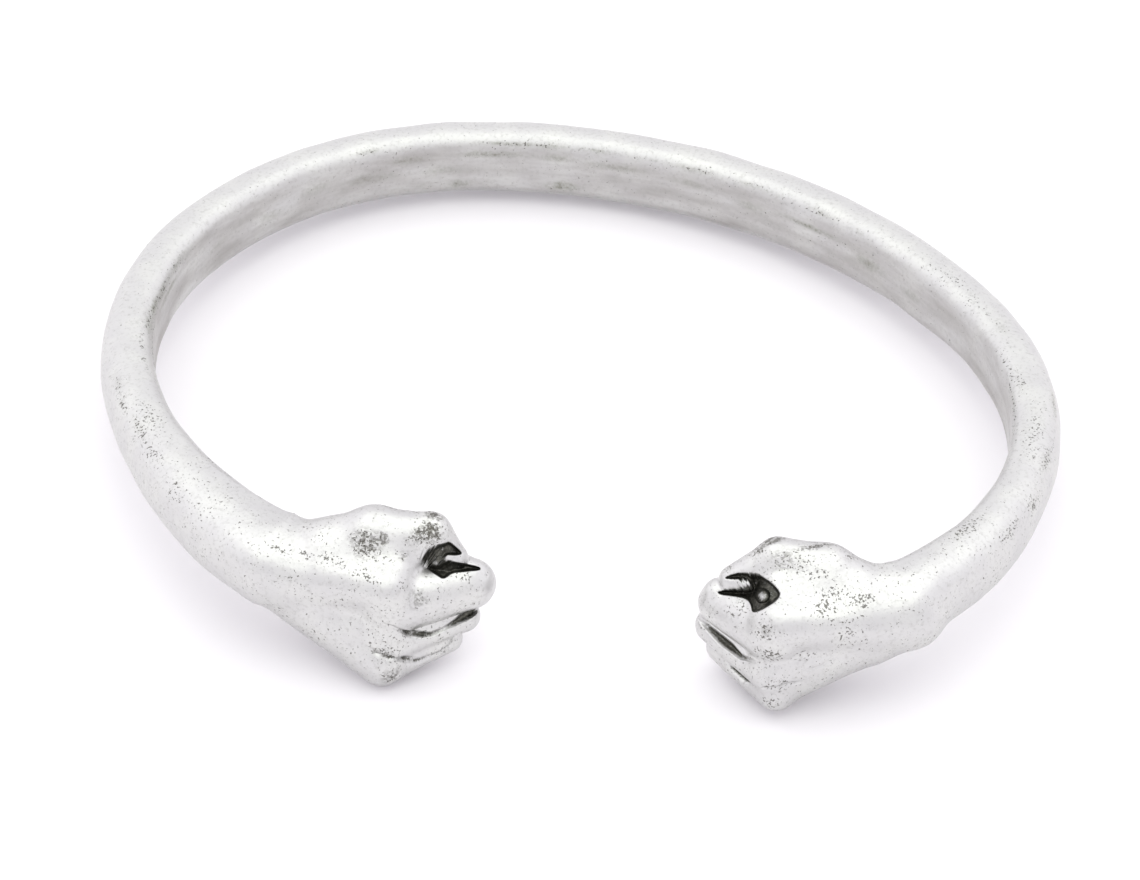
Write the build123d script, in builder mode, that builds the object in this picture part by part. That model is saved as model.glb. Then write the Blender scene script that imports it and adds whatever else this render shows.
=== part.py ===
from build123d import *
import os
from math import asin, cos, radians, sin

# Open cuff bracelet cast in one piece: a thin band, flat inside and rounded outside, that swells
# into a forearm at each end and closes in a small fist. The two fists face each other across the
# opening, thumbs up. Millimetres, +Z up, as the bracelet lies on a flat surface; the origin is the
# middle of its box on that surface.

# Driving dimensions of the band. Its centre line is four arcs in the plane of the ring, from the
# left wrist round the back to the right wrist. It isn't symmetric: the cuff was bent by hand.
band_thick = 3.5
band_high = 5.25
left_arm_radius = 30.7
left_arm_turn = 36.0
left_radius = 22.4
left_turn = 102.9
back_radius = 38.1
back_turn = 63.0
right_radius = 21.3
right_turn = 84.6
left_wrist = (-19.76, -18.49)
left_wrist_aims = 146.9
# The fists are taller than the band, so the ring lies this many degrees up in front.
lie = 4.0

# Driving dimensions of the hands. Every place and radius on a hand is a share of the fist's height.
fist_high = 10.0
# Left (-1) and right (1) hand: degrees by which the hand turns out of its forearm's line, and place
# of the wrist from the end of the centre line: along the hand, outward and up.
wrist_bend = {-1: 8.0, 1: 15.3}
wrist_seat = {-1: (0.00, -0.03, -0.13), 1: (-0.05, 0.06, -0.125)}
# Fingers, thumb side first: the knuckle's place along the hand, outward and up, turn toward the palm
# in degrees, lengths of the two bones, rise of the middle joint, and radii at the knuckle, at the
# middle joint and of the folded bone.
fingers = {
    -1: (
        (0.77, -0.12, 0.07, 49, 0.525, 0.31, 0.015, 0.210, 0.150, 0.125),
        (0.81, -0.01, -0.21, 54, 0.475, 0.32, 0.035, 0.125, 0.115, 0.108),
        (0.81, 0.05, -0.350, 57, 0.440, 0.30, 0.030, 0.120, 0.106, 0.100),
        (0.79, 0.05, -0.395, 57, 0.320, 0.23, 0.010, 0.095, 0.080, 0.075),
    ),
    1: (
        (0.85, -0.115, 0.09, 59, 0.430, 0.31, -0.030, 0.195, 0.145, 0.125),
        (0.89, -0.02, -0.17, 65, 0.510, 0.32, 0.020, 0.130, 0.115, 0.108),
        (0.87, 0.00, -0.31, 67, 0.460, 0.30, -0.010, 0.126, 0.111, 0.103),
        (0.83, -0.01, -0.385, 67, 0.360, 0.23, -0.010, 0.092, 0.081, 0.076),
    ),
}
# Thumbs: base, the two joints and the tip, and the radii at each.
thumbs = {
    -1: ((0.06, -0.05, 0.12), (0.51, -0.305, 0.315), (0.81, -0.45, 0.385), (1.02, -0.47, 0.22)),
    1: ((0.00, -0.04, 0.08), (0.45, -0.30, 0.30), (0.72, -0.44, 0.37), (0.98, -0.48, 0.22)),
}
thumb_round = (0.190, 0.178, 0.132, 0.095)
# Each bone starts this much thinner than the one before it ends, so that no two balls coincide.
joint_step = 0.005
# Middle of the hole that the folded first finger leaves in its curl.
eye = {-1: (0.97, -0.305, 0.295), 1: (0.885, -0.23, 0.295)}

# Sections of the cuff are four-sided with rounded corners and a bulging outer side. These shares
# hold for all of them: height of the inner face, and how far the section lies inward of its line.
inner_high = 0.85
inward = 0.46

# Stations along the centre line: share of the route, and shares of the band's thickness and height.
stations = (
    (0.000, 1.58, 1.12),
    (0.045, 1.27, 1.08),
    (0.100, 1.01, 1.04),
    (0.170, 0.99, 1.00),
    (0.260, 0.97, 1.00),
    (0.360, 1.00, 1.00),
    (0.460, 1.00, 1.02),
    (0.560, 1.00, 1.03),
    (0.660, 1.00, 1.02),
    (0.750, 1.00, 1.01),
    (0.830, 0.97, 1.00),
    (0.900, 0.87, 1.00),
    (0.955, 1.01, 1.01),
    (1.000, 1.20, 1.03),
)
# Shares of a station's thickness: bulge of the outer side, inner corners and outer corners.
band_round = (0.30, 0.27, 0.34)

# Palm sections from the wrist to the knuckles, in shares of the fist's height: place along the
# hand, inner face, back of the hand, lower edge and upper edge.
palm_sections = {
    -1: (
        (0.26, -0.28, 0.26, -0.27, 0.39),
        (0.52, -0.33, 0.20, -0.41, 0.36),
        (0.79, -0.37, 0.13, -0.455, 0.28),
    ),
    1: (
        (0.26, -0.26, 0.19, -0.24, 0.38),
        (0.52, -0.33, 0.13, -0.37, 0.36),
        (0.79, -0.37, 0.06, -0.445, 0.28),
    ),
}
# Shares of a palm's thickness: bulge of the back, inner corners and outer corners.
palm_round = (0.08, 0.24, 0.28)

ring = Plane(origin=(0, 0, 0), x_dir=(1, 0, 0), z_dir=(0, sin(radians(lie)), cos(radians(lie))))


def hand_frame(side):
    """Where a hand's own directions point: end of the centre line, along the hand, and outward."""
    end = (1 + side) / 2
    leaves = (route % end) * side
    along_way = Vector(leaves.X, leaves.Y, 0).normalized().rotate(Axis.Z, -side * wrist_bend[side])
    return route @ end, along_way, along_way.rotate(Axis.Z, side * 90)


def on_hand(side, along, out, up):
    """Point on a hand: along it from the wrist, out toward the back of the hand, up to the thumb."""
    end, along_way, out_way = hand_frame(side)
    seat_along, seat_out, seat_up = wrist_seat[side]
    level = Vector(0, 0, seat_up + up)
    return end + (along_way * (seat_along + along) + out_way * (seat_out + out) + level) * fist_high


def finger(along, out, up, turn, first, second, rise, at_knuckle, at_joint, folded):
    """Two bones of a folded finger: knuckle to middle joint, then back toward the palm."""
    fold = turn + 128
    middle = (along + first * cos(radians(turn)), out - first * sin(radians(turn)), up + rise)
    end = (
        middle[0] + second * cos(radians(fold)),
        middle[1] - second * sin(radians(fold)),
        middle[2] + 0.02,
    )
    return [
        ((along, out, up), middle, at_knuckle, at_joint, Mode.ADD),
        (middle, end, folded, 0.92 * folded, Mode.ADD),
    ]


def hand_bones(side):
    """Tapered bones with round ends: start, end, the two radii, and whether added or cut away."""
    hole = eye[side]
    folded = [finger(*row) for row in fingers[side]]
    # The four first bones, then the four folded ones.
    bones = [first for first, second in folded] + [second for first, second in folded]
    # Flesh of the palm behind the folded fingers, and the web between thumb and first finger.
    bones += [
        ((0.25, -0.12, 0.05), (0.76, -0.29, -0.02), 0.220, 0.230, Mode.ADD),
        ((0.25, -0.10, -0.06), (0.72, -0.26, -0.27), 0.210, 0.160, Mode.ADD),
        ((0.30, -0.10, 0.18), (0.70, -0.28, 0.19), 0.180, 0.170, Mode.ADD),
    ]
    places = list(zip(thumbs[side], thumb_round))
    for (start, start_share), (end, end_share) in zip(places, places[1:]):
        bones.append((start, end, start_share - joint_step, end_share, Mode.ADD))
    # Slit between the two bones of the first finger, and slit between that finger and the thumb.
    bones += [
        (
            (hole[0] + 0.055, hole[1] + 0.01, hole[2] - 0.01),
            (hole[0] + 0.225, hole[1] - 0.125, hole[2] - 0.045),
            0.050, 0.025, Mode.SUBTRACT,
        ),
        (
            (hole[0] - 0.03, hole[1] - 0.055, hole[2] + 0.05),
            (hole[0] + 0.115, hole[1] - 0.16, hole[2]),
            0.050, 0.025, Mode.SUBTRACT,
        ),
    ]
    return bones


def palm_rows(side):
    """Palm sections of one hand as plane and sizes, with the plane facing along the cuff."""
    rows = []
    end, along_way, out_way = hand_frame(side)
    for along, *sizes in palm_sections[side]:
        plane = Plane(origin=on_hand(side, along, 0, 0), x_dir=out_way, z_dir=along_way * side)
        inner, outer, low, top = (size * fist_high for size in sizes)
        rows.append((plane, inner, outer, low, top, palm_round))
    return rows


# Centre line of the ring.
with BuildLine(ring) as spine:
    aims = (cos(radians(left_wrist_aims)), sin(radians(left_wrist_aims)))
    left_arm = JernArc(left_wrist, aims, left_arm_radius, -left_arm_turn)
    left_side = JernArc(left_arm @ 1, left_arm % 1, left_radius, -left_turn)
    back = JernArc(left_side @ 1, left_side % 1, back_radius, -back_turn)
    right_side = JernArc(back @ 1, back % 1, right_radius, -right_turn)
route = spine.wires()[0]

# All sections in order, from the left knuckles round to the right ones: plane, inner face, outer
# face, lower edge, upper edge and roundings.
rows = palm_rows(-1)[::-1]
for share, thick, high in stations:
    heading = route % share
    thickness = band_thick * thick
    half_h = 0.5 * band_high * high
    plane = Plane(origin=route @ share, x_dir=ring.z_dir.cross(heading), z_dir=heading)
    rows.append((plane, -inward * thickness, (1 - inward) * thickness, -half_h, half_h, band_round))
rows += palm_rows(1)

# Band, forearms and palms, lofted through the sections.
with BuildPart() as band:
    for plane, inner, outer, low, top, roundings in rows:
        swell, in_corner, out_corner = (share * (outer - inner) for share in roundings)
        middle = (low + top) / 2
        reach = inner_high * (top - middle)
        crest = outer - swell
        with BuildSketch(plane) as section:
            with BuildLine():
                Polyline((crest, low), (inner, middle - reach), (inner, middle + reach), (crest, top))
                ThreePointArc((crest, top), (outer, middle), (crest, low))
            make_face()
            fillet(section.vertices().sort_by(Axis.X)[:2], in_corner)
            fillet(section.vertices().sort_by(Axis.X)[-2:], out_corner)
    loft()

# One fist for each end: bones that are half profiles turned about their own axes.
fists = []
for side in (-1, 1):
    with BuildPart() as fist:
        for start_at, end_at, start_share, end_share, joined in hand_bones(side):
            start = on_hand(side, *start_at)
            way = on_hand(side, *end_at) - start
            length = way.length
            r0 = start_share * fist_high
            r1 = end_share * fist_high
            lean = asin((r0 - r1) / length)
            mid_back = radians(135) - lean / 2
            mid_tip = radians(45) - lean / 2
            with BuildSketch(Plane(origin=start, x_dir=way, z_dir=way.cross(Vector(0, 0, 1)))):
                with BuildLine():
                    back_end = ThreePointArc(
                        (-r0, 0),
                        (r0 * cos(mid_back), r0 * sin(mid_back)),
                        (r0 * sin(lean), r0 * cos(lean)),
                    )
                    tip_end = ThreePointArc(
                        (length + r1 * sin(lean), r1 * cos(lean)),
                        (length + r1 * cos(mid_tip), r1 * sin(mid_tip)),
                        (length + r1, 0),
                    )
                    Line(back_end @ 1, tip_end @ 0)
                    Line(tip_end @ 1, back_end @ 0)
                make_face()
            revolve(axis=Axis(start, way), mode=joined)
        # The hole in the curl, with the ball of the fingertip inside it.
        hole = eye[side]
        with Locations(on_hand(side, *hole)):
            Sphere(0.095 * fist_high, mode=Mode.SUBTRACT)
        with Locations(on_hand(side, hole[0] - 0.03, hole[1] - 0.045, hole[2] - 0.09)):
            Sphere(0.055 * fist_high)
    fists.append(fist)

# The casting, fused and set down on the surface.
with BuildPart() as casting:
    add(band.part)
    add(fists[0].part)
    add(fists[1].part)
box = casting.part.bounding_box()
with BuildPart() as fist_cuff:
    add(casting.part.moved(Location((-box.center().X, -box.center().Y, -box.min.Z))))

fist_cuff.part.label = "fist_cuff"
print("set down by", round(-box.center().X, 3), round(-box.center().Y, 3), round(-box.min.Z, 3))
print("size", fist_cuff.part.bounding_box(), "volume", round(fist_cuff.part.volume, 1))
print("solids", len(fist_cuff.solids()), "faces", len(fist_cuff.faces()), "centre line", round(route.length, 2))

os.makedirs("parts", exist_ok=True)
export_step(fist_cuff.part, "parts/fist_cuff.step")
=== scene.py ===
# %% [markdown]
# # An open cuff bracelet whose two ends are small fists
#
# The real thing is one casting in antiqued silver: a thin band, flat inside and rounded outside,
# that swells into a forearm at each end and closes in a fist. This lesson starts from the packed
# solid, which fixes the size, and models the same casting again with its knuckles, slits, hollows
# and hand-finished surface. All making is done in millimetres, in the ring's own frame, and the
# points are turned into metres where they go to Blender.

# %% Load the solid and keep its box
import math
import bmesh
import bpy
import numpy as np
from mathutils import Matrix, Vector


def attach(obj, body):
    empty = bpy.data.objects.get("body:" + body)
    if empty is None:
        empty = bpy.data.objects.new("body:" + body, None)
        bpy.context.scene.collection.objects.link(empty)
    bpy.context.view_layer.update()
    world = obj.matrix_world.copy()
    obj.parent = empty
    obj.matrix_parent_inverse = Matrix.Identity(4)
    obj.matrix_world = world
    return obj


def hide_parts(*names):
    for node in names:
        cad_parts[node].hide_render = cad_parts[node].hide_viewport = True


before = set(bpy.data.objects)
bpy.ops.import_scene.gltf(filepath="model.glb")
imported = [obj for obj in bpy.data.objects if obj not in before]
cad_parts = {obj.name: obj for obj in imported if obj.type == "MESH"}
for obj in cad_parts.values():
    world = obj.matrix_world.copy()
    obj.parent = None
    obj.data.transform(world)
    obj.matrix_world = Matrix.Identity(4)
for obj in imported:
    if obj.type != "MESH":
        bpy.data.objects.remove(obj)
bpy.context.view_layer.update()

MM = 0.001

# %% [markdown]
# ## The camera
#
# The bracelet was photographed with a long lens from the front, 42 degrees above the table and a
# little to the right. The camera could be placed by eye, but the ring's two ends and its back give
# enough to work it out: the ring's known width fixes the distance, and the squash of its curve
# fixes the height. The picture isn't centred on the ring, so the lens is shifted a little.

# %% The camera
SET_DOWN = np.array([3.364, -2.732, 4.91])  # the ring's own centre, seen from the middle of its box
RING_CENTRE = SET_DOWN - [1.0, 0.0, 0.0]
PICTURE_WIDTH = 1140  # pixels, the unit of the focal length and of the two shifts
FOCAL_LENGTH = 4312
SHIFT_ACROSS, SHIFT_UP = -39.9, -39.5
FILM_WIDTH = 36.0  # mm
camera_at = RING_CENTRE + [23.92, -206.70, 187.36]
lens = bpy.data.cameras.new("studio_camera")
lens.sensor_width = FILM_WIDTH
lens.lens = FOCAL_LENGTH / PICTURE_WIDTH * FILM_WIDTH
lens.shift_x = SHIFT_ACROSS / PICTURE_WIDTH
lens.shift_y = SHIFT_UP / PICTURE_WIDTH
lens.clip_start = 0.01
lens.clip_end = 20
camera = bpy.data.objects.new("studio_camera", lens)
camera.location = Vector(camera_at * MM)
looks = Vector((RING_CENTRE - camera_at).tolist())
camera.rotation_euler = looks.to_track_quat("-Z", "Y").to_euler()
bpy.context.scene.collection.objects.link(camera)
bpy.context.scene.camera = camera
print("camera at", camera.location, "lens", round(lens.lens, 1), "mm")

# %% [markdown]
# ## The band's route
#
# The band was bent by hand round a mandrel, so seen from above it is four arcs that flow into each
# other, and it isn't quite symmetrical. A curve object could carry it, but here the route is worked
# out directly: the heading turns at a steady rate along each arc, a short moving average takes the
# jump out of the curvature where two arcs meet, and adding up small steps in the heading's
# direction gives the points.

# %% The band's route
ARCS = ((30.7, 36.0), (22.4, 102.9), (38.1, 63.0), (21.3, 84.6))  # radius in mm, turn in degrees
LEFT_WRIST = np.array([-19.76, -18.49])
LEFT_WRIST_AIMS = 146.9
LIE = math.radians(4.0)  # the ring lies a little up in front, on its fists
STEP = 0.05  # mm between the points of the route, and of the spine further on
BEND_EASE = 5.0  # mm over which one arc's bend turns into the next's


def moving_average(values, width):
    """Each value becomes the mean of its neighbours within the width, with the ends held."""
    reach = int(width / STEP / 2)
    padded = np.concatenate([
        2 * values[0] - values[reach:0:-1],
        values,
        2 * values[-1] - values[-2:-reach - 2:-1],
    ])
    return np.convolve(padded, np.full(2 * reach + 1, 1 / (2 * reach + 1)), "valid")


def band_route():
    """Distance along the route, and its points: the heading falls by each arc's turn over the arc's
    length, and the points are the running sum of steps in the heading's direction."""
    lengths = np.array([r * math.radians(t) for r, t in ARCS])
    ends = np.concatenate([[0], np.cumsum(lengths)])
    aims = LEFT_WRIST_AIMS - np.concatenate([[0], np.cumsum([t for _, t in ARCS])])
    along = np.arange(0, ends[-1], STEP)
    aim = np.radians(moving_average(np.interp(along, ends, aims), BEND_EASE))
    half = aim[:-1] + np.diff(aim) / 2
    steps = np.stack([np.cos(half), np.sin(half)], 1) * STEP
    flat = LEFT_WRIST + np.concatenate([[[0, 0]], np.cumsum(steps, 0)])
    tipped = np.stack([flat[:, 0], flat[:, 1] * math.cos(LIE), -flat[:, 1] * math.sin(LIE)], 1)
    return along, tipped


route_along, route_points = band_route()
ROUTE = route_along[-1]
print("route", round(ROUTE, 2), "mm long, from", route_points[0].round(2), "to", route_points[-1].round(2))

# %% [markdown]
# ## Distance functions
#
# A fist is hard to model from flat sheets: its forms run into each other softly, and then a finger
# meets its neighbour in a sharp crease. Metal sculpture of this kind can be described by
# distances instead. Each bone has a formula for how far a point is from its surface, and a smooth
# minimum of two distances blends two forms, wide for flesh and narrow for a crease. The surface is
# where the distance is nought.

# %% Distance functions


def bone(point, start, end, start_radius, end_radius):
    """Distance from the bone's line, less a radius that runs from one end's to the other's."""
    start, end = np.array(start), np.array(end)
    way = end - start
    share = np.clip((point - start) @ way / (way @ way), 0, 1)
    return np.linalg.norm(point - start - share[:, None] * way, axis=1) - (
        start_radius + (end_radius - start_radius) * share)


def blend(one, other, width):
    """Smooth minimum: the smaller distance, less a parabola where the two are closer than width."""
    share = np.clip(0.5 + 0.5 * (other - one) / width, 0, 1)
    return other + (one - other) * share - width * share * (1 - share)


def round_corner(one, other, radius):
    """Where two faces meet: the larger distance, with a quarter circle of the radius between."""
    inside = np.minimum(np.maximum(one, other), -radius)
    return inside + np.hypot(np.maximum(one + radius, 0), np.maximum(other + radius, 0))


gap = bone(np.array([[5.0, 0.0, 0.0]]), (0, 0, 0), (0, 0, 4), 1, 1)[0]
print("a point 5 mm off the line of a bone of radius 1 mm is", gap, "mm from it")

# %% [markdown]
# ## The band's section
#
# Across the band the metal is a rounded block: flat on the side toward the wrist, crowned outside,
# and a little lower at its inner edges. It thickens toward the hands. The section is a distance
# formula of the place outward and upward from the route, with sizes that follow the route.

# %% The band's section
BAND_THICK, BAND_HIGH = 3.5, 5.25
INWARD = 0.46  # share of the thickness that lies on the wrist's side of the route
CROWN, EDGE_FALL = 0.30, 0.15  # the outer side's arch and how much lower the inner edges are
INNER_ROUND, OUTER_ROUND = 0.27, 0.34  # corner radii, as shares of the thickness
STATIONS = np.array([  # share of the route, and shares of the thickness and the height there
    (0.000, 1.58, 1.12), (0.045, 1.34, 1.09), (0.100, 1.05, 1.04), (0.170, 0.99, 1.00),
    (0.260, 0.97, 1.00), (0.360, 1.00, 1.00), (0.460, 1.00, 1.02), (0.560, 1.00, 1.03),
    (0.660, 1.00, 1.02), (0.750, 1.00, 1.01), (0.830, 0.97, 1.00), (0.900, 0.87, 1.00),
    (0.955, 1.01, 1.01), (1.000, 1.20, 1.03),
])


def section(out, up, thick, high):
    """Distance to the section's outline: inner face, two edges that fall toward it, and the arc of
    the crowned outer side, joined by rounded corners."""
    half, inner = high / 2, -INWARD * thick
    swell = CROWN * thick
    crest = inner + thick - swell
    fall = EDGE_FALL * half / (thick - swell)
    radius = (half ** 2 + swell ** 2) / (2 * swell)
    to_inner = inner - out
    to_edge = (np.abs(up) - half - fall * (out - crest)) / np.hypot(1, fall)
    to_outer = np.hypot(out - (inner + thick - radius), up) - radius
    return np.maximum(round_corner(to_inner, to_edge, INNER_ROUND * thick),
                      round_corner(to_edge, to_outer, OUTER_ROUND * thick))


print("band", BAND_THICK, "by", BAND_HIGH, "mm, with", len(STATIONS), "stations")

# %% [markdown]
# ## The bones of the fists
#
# Each fist is built as a sculptor would block it in: the four bones of the palm, the flesh of the
# thumb and the heel, then two bones for each folded finger, and the thumb laid over the first
# finger. The two hands aren't mirror images: the right one is a little longer in the palm and its
# first finger is curled further. Places are in millimetres along the hand from the wrist, outward
# to the back of the hand and up to the thumb.

# %% The bones of the fists
HAND_AIMS = math.radians(25)
WRIST = np.array([19.67, -18.17])
FOLDED_BACK = 128  # degrees by which a finger's second bone turns from its first


def folded_finger(knuckle, turn, first, second, rise, radii, lift=0.0):
    """Two bones: one from the knuckle at the turn, then one folded back toward the palm."""
    a, b = math.radians(turn), math.radians(turn + FOLDED_BACK)
    joint = (knuckle[0] + first * math.cos(a), knuckle[1] - first * math.sin(a), knuckle[2] + rise)
    start = (joint[0], joint[1], joint[2] + lift)
    tip = (start[0] + second * math.cos(b), start[1] - second * math.sin(b),
           start[2] + 0.1 + 0.5 * lift)
    return (knuckle, joint, radii[0], radii[1]), (start, tip, radii[2], 0.92 * radii[2])


LEFT_HAND = {
    "palm": (  # each bone's start and end, and the radius at each
        ((0.0, 0.2, 0.9), (7.4, -1.3, 1.5), 1.9, 1.75),
        ((0.0, 0.2, 0.6), (7.7, -0.5, -1.1), 2.0, 1.7),
        ((0.0, 0.2, 0.1), (8.0, 0.5, -2.9), 2.0, 1.5),
        ((0.0, 0.1, -0.3), (7.8, 0.4, -3.7), 1.75, 1.2),
        ((0.5, 0.7, 1.4), (7.6, -0.7, 1.9), 1.6, 1.4),
        ((2.5, -1.2, 0.5), (7.6, -2.9, -0.2), 2.2, 2.3),
        ((2.5, -1.0, -0.6), (7.2, -2.6, -2.7), 2.1, 1.6),
        ((3.0, -1.2, 2.1), (7.1, -2.8, 2.25), 1.8, 1.7),
    ),
    "fingers": (
        *folded_finger((7.7, -1.2, 0.5), 49, 5.0, 3.1, -0.05, (2.1, 1.62, 1.1), 0.7),
        *folded_finger((8.1, -0.1, -2.15), 54, 5.0, 3.2, 0.55, (1.25, 1.05, 1.0)),
        *folded_finger((8.1, 0.5, -3.50), 57, 4.35, 3.0, 0.50, (1.15, 0.95, 0.9)),
        *folded_finger((7.2, 0.3, -3.95), 57, 3.0, 2.3, 0.1, (0.9, 0.75, 0.7)),
    ),
    "thumb": (
        ((0.6, -0.5, 1.2), (5.2, -3.05, 3.15), 1.9, 1.8),
        ((5.2, -3.05, 3.15), (8.45, -4.55, 3.75), 1.8, 1.33),
        ((8.45, -4.55, 3.75), (9.9, -4.7, 2.3), 1.42, 1.05),
    ),
    "graver_aims": 55,  # degrees from the hand's own line toward its back
    "hole": (10.0, -3.75, 3.0),
    "hole_outline": (  # across and up from the hole's place, as the graver sees it
        (-1.49, 0.00), (-0.97, 0.65), (-0.45, 0.91), (0.06, 0.97), (0.32, 1.10), (0.71, 0.78), (1.17, 0.32),
        (0.65, 0.26), (0.13, 0.32), (-0.06, 0.13), (0.26, -0.10), (1.10, -0.26), (2.14, -0.52), (2.21, -0.71),
        (1.36, -0.75), (0.45, -0.78), (0.19, -0.97), (-0.13, -1.17), (-0.52, -0.88), (-0.97, -0.58),
    ),
    "fingertip": (-0.52, -0.16, 0.42),  # across, up and radius
    "grooves": (  # along, outward, up, half width and depth
        ((8.2, 0.85, 0.6, 0.10, 0.03), (8.9, 0.55, 0.35, 0.13, 0.08), (9.2, 0.2, -0.15, 0.15, 0.14),
         (9.4, -0.45, -0.85, 0.22, 0.26), (9.9, -1.15, -1.3, 0.24, 0.30), (10.3, -1.55, -1.4, 0.20, 0.22),
         (10.8, -2.3, -1.3, 0.16, 0.14), (11.1, -2.8, -1.15, 0.24, 0.26), (11.5, -3.6, -0.95, 0.34, 0.36),
         (11.9, -4.4, -0.8, 0.34, 0.36)),
        ((7.5, 1.4, -1.35, 0.10, 0.04), (8.2, 1.3, -1.6, 0.16, 0.20), (8.9, 1.0, -1.85, 0.18, 0.26),
         (9.5, 0.2, -2.6, 0.18, 0.24), (9.8, -0.4, -2.9, 0.18, 0.24), (10.4, -1.15, -3.1, 0.14, 0.18),
         (10.8, -1.8, -3.0, 0.14, 0.16), (11.1, -2.5, -2.65, 0.14, 0.18), (11.5, -3.0, -2.15, 0.20, 0.24)),
        ((9.35, 0.8, -2.8, 0.14, 0.06), (9.4, 0.7, -3.4, 0.20, 0.12), (9.0, 1.3, -3.65, 0.14, 0.08)),
    ),
    "hollows": ((5.7, -1.5, 4.2, 1.1, 0.10), (8.7, -4.0, 4.8, 0.65, 0.12)),  # place, width, depth
}
RIGHT_HAND = {
    "palm": (
        ((0.0, 0.1, 0.7), (8.4, -1.3, 1.5), 1.70, 1.7),
        ((0.0, 0.1, 0.5), (8.6, -0.6, -1.1), 1.65, 1.6),
        ((0.0, 0.1, 0.5), (8.6, -0.3, -2.6), 1.45, 1.35),
        ((0.0, 0.0, 0.5), (8.2, -0.5, -3.1), 1.25, 1.1),
        ((0.5, 0.5, 1.2), (8.2, -0.7, 1.8), 1.55, 1.4),
        ((2.5, -1.2, 0.5), (7.6, -2.9, -0.2), 2.2, 2.3),
        ((2.5, -1.0, -0.6), (7.2, -2.6, -2.7), 2.1, 1.5),
        ((3.0, -1.2, 2.0), (7.4, -2.8, 2.2), 1.8, 1.7),
    ),
    "fingers": (
        *folded_finger((8.5, -1.15, 0.85), 60, 4.35, 3.1, -0.35, (1.95, 1.35, 1.1), 0.6),
        *folded_finger((8.9, -0.2, -1.7), 66, 5.25, 3.2, 0.25, (1.3, 1.15, 1.05)),
        *folded_finger((8.7, 0.0, -3.05), 68, 4.85, 3.0, 0.1, (1.25, 1.1, 1.0)),
        *folded_finger((8.1, -0.2, -3.5), 68, 3.6, 2.3, 0.0, (0.9, 0.8, 0.75)),
    ),
    "thumb": (
        ((-0.1, -0.3, 0.7), (4.4, -3.0, 3.0), 1.6, 1.62),
        ((4.4, -3.0, 3.0), (7.2, -4.4, 3.7), 1.62, 1.28),
        ((7.2, -4.4, 3.7), (9.8, -4.8, 2.2), 1.3, 0.95),
    ),
    "graver_aims": 68.5,
    "hole": (9.46, -2.97, 3.0),
    "hole_outline": (
        (-1.88, -0.19), (-1.62, 0.19), (-1.17, 0.58), (-0.52, 0.91), (0.32, 1.04), (0.97, 0.97), (1.69, 0.65),
        (0.97, 0.65), (0.32, 0.65), (-0.06, 0.45), (-0.13, 0.19), (0.19, 0.00), (0.97, -0.06), (1.88, -0.13),
        (1.95, -0.32), (0.97, -0.39), (0.13, -0.52), (-0.13, -0.91), (-0.19, -1.36), (-0.65, -1.23),
        (-1.17, -0.91), (-1.62, -0.58),
    ),
    "fingertip": (-0.78, -0.32, 0.45),
    "grooves": (
        ((12.0, -5.2, -0.7, 0.08, 0.05), (11.7, -4.4, -0.75, 0.20, 0.20), (11.25, -3.15, -0.8, 0.34, 0.36),
         (10.9, -2.3, -0.85, 0.32, 0.36), (10.5, -1.4, -0.9, 0.22, 0.24), (10.2, -0.7, -0.65, 0.15, 0.12),
         (9.5, 0.35, -0.2, 0.12, 0.05)),
        ((11.8, -4.1, -1.8, 0.26, 0.28), (11.3, -2.9, -2.1, 0.28, 0.30), (10.85, -2.2, -2.5, 0.30, 0.34),
         (10.45, -1.25, -2.75, 0.24, 0.30), (10.2, -0.5, -2.5, 0.18, 0.22), (9.7, 0.85, -1.7, 0.15, 0.16),
         (8.6, 1.15, -1.6, 0.16, 0.16), (7.6, 1.25, -1.55, 0.12, 0.08)),
        ((7.35, 1.25, -0.8, 0.10, 0.05), (6.25, 1.35, -0.4, 0.10, 0.06), (5.6, 1.4, 0.0, 0.10, 0.04)),
    ),
    "hollows": ((7.3, -3.2, 4.5, 0.75, 0.10), (7.2, -4.7, 5.0, 0.35, 0.05)),
}
HANDS = {-1: LEFT_HAND, 1: RIGHT_HAND}


def to_hand(point, side):
    """A point of the ring's frame in a hand's own: along the hand, outward and up."""
    reach = WRIST[0] - side * point[:, 0]
    front = WRIST[1] - point[:, 1]
    c, s = math.cos(HAND_AIMS), math.sin(HAND_AIMS)
    return np.stack([reach * c + front * s, front * c - reach * s, point[:, 2]], 1)


def from_hand(place, side):
    """The way back: a place on a hand as a point of the ring's frame."""
    place = np.atleast_2d(place)
    c, s = math.cos(HAND_AIMS), math.sin(HAND_AIMS)
    reach = place[:, 0] * c - place[:, 1] * s
    front = place[:, 0] * s + place[:, 1] * c
    return np.stack([side * (WRIST[0] - reach), WRIST[1] - front, place[:, 2]], 1)


def near_hand(point, side):
    """Which of the points are on the hand's side and at most 3 mm behind its wrist, and their places
    in the hand's own frame."""
    near = np.nonzero((side * point[:, 0] > 0) & (point[:, 1] < WRIST[1] + 3))[0]
    return near, to_hand(point[near], side)


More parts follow.
